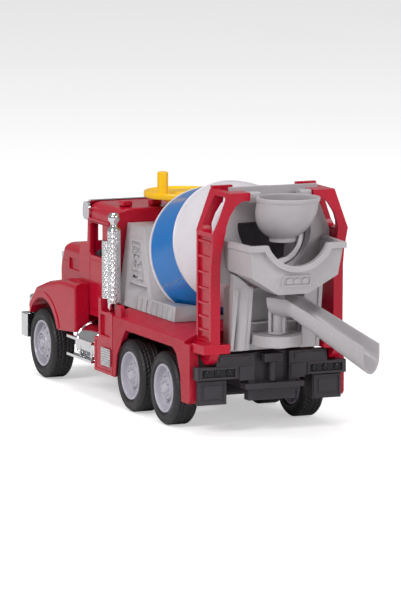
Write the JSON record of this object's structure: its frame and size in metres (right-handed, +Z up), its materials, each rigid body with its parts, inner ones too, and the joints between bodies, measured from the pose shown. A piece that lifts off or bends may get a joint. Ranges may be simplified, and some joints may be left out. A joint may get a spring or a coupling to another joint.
{
  "type": "toy cement mixer",
  "caption": "Toy cement mixer truck: long bonnet and cab, tilted drum turned by a crank wheel on top, tipping hopper, collector and swinging chute at the rear.",
  "frame": {"origin": "middle of the whole truck's box on the ground, chute as it stands at rest", "axes": "+X forwards to the bonnet, +Y to the truck's left, +Z up"},
  "size_m": [0.3278, 0.0952, 0.1364],
  "materials": {
    "red_plastic": "moulded, satin gloss",
    "grey_plastic": "moulded, satin",
    "white_plastic": "moulded, smooth",
    "blue_plastic": "moulded, smooth",
    "yellow_plastic": "moulded, smooth",
    "black_plastic": "moulded, satin",
    "chrome_plating": "bright plating on plastic",
    "tyre_rubber": "matte moulded",
    "rim_plastic": "silver lavender, smooth",
    "axle_steel": "drawn rod"
  },
  "bodies": {
    "truck": {"cab_interior": "black_plastic", "cab_shell": "red_plastic", "chassis_frame": "black_plastic", "collector": "grey_plastic", "drum_cradle": "grey_plastic", "exhaust_stack_left": "chrome_plating", "exhaust_stack_right": "chrome_plating", "fender_left": "red_plastic", "fender_right": "red_plastic", "front_bumper": "chrome_plating", "fuel_tank_left": "chrome_plating", "fuel_tank_right": "chrome_plating", "grille": "chrome_plating", "headlamp_left": "chrome_plating", "headlamp_right": "chrome_plating", "hood": "red_plastic", "mouth_frame": "grey_plastic", "mudflap_left": "black_plastic", "mudflap_right": "black_plastic", "rear_bumper": "black_plastic", "rear_deck": "red_plastic", "rear_panel": "grey_plastic", "roof_lamp_1": "red_plastic", "roof_lamp_2": "red_plastic", "roof_lamp_3": "red_plastic", "roof_lamp_4": "red_plastic", "roof_visor": "chrome_plating", "side_box_left": "red_plastic", "side_box_right": "red_plastic", "step_panel_left": "chrome_plating", "step_panel_right": "chrome_plating", "tail_lamps_left": "black_plastic", "tail_lamps_right": "black_plastic", "tow_hitch": "black_plastic", "tower_left": "red_plastic", "tower_right": "red_plastic"},
    "front_axle": {"axle_front": "axle_steel", "tyre_front_left": "tyre_rubber", "tyre_front_right": "tyre_rubber", "rim_front_left": "rim_plastic", "rim_front_right": "rim_plastic"},
    "mid_axle": {"axle_mid": "axle_steel", "tyre_mid_left": "tyre_rubber", "tyre_mid_right": "tyre_rubber", "rim_mid_left": "rim_plastic", "rim_mid_right": "rim_plastic"},
    "rear_axle": {"axle_rear": "axle_steel", "tyre_rear_left": "tyre_rubber", "tyre_rear_right": "tyre_rubber", "rim_rear_left": "rim_plastic", "rim_rear_right": "rim_plastic"},
    "drum": {"drum_shell": "white_plastic", "drum_band": "blue_plastic", "drum_fin_1": "white_plastic", "drum_fin_2": "white_plastic", "drum_bevel": "grey_plastic"},
    "crank": {"crank_wheel": "yellow_plastic", "crank_bevel": "grey_plastic"},
    "hopper_bowl": {"hopper": "grey_plastic"},
    "chute_arm": {"chute": "grey_plastic"}
  },
  "joints": [
    {"name": "front_axle_roll", "type": "hinge", "parent": "truck", "child": "front_axle", "pos_m": [0.13016, 0, 0.0205], "axis": [0, 1, 0], "continuous": true},
    {"name": "mid_axle_roll", "type": "hinge", "parent": "truck", "child": "mid_axle", "pos_m": [-0.00644, 0, 0.0205], "axis": [0, 1, 0], "continuous": true},
    {"name": "rear_axle_roll", "type": "hinge", "parent": "truck", "child": "rear_axle", "pos_m": [-0.05544, 0, 0.0205], "axis": [0, 1, 0], "continuous": true},
    {"name": "drum_spin", "type": "hinge", "parent": "truck", "child": "drum", "pos_m": [-0.02204, 0, 0.0892], "axis": [-0.9573, 0, 0.289], "continuous": true},
    {"name": "crank_spin", "type": "hinge", "parent": "truck", "child": "crank", "pos_m": [0.02356, 0, 0.1187], "axis": [0, 0, 1], "continuous": true},
    {"name": "hopper_tilt", "type": "hinge", "parent": "truck", "child": "hopper_bowl", "pos_m": [-0.11144, 0, 0.1322], "axis": [0, 1, 0], "range_deg": [0, 40]},
    {"name": "chute_swing", "type": "hinge", "parent": "truck", "child": "chute_arm", "pos_m": [-0.11144, 0, 0.0557], "axis": [0, 0, 1], "range_deg": [-76, 4]}
  ],
  "couplings": [
    {"joint": "crank_spin", "follows": "drum_spin", "ratio": -1}
  ]
}
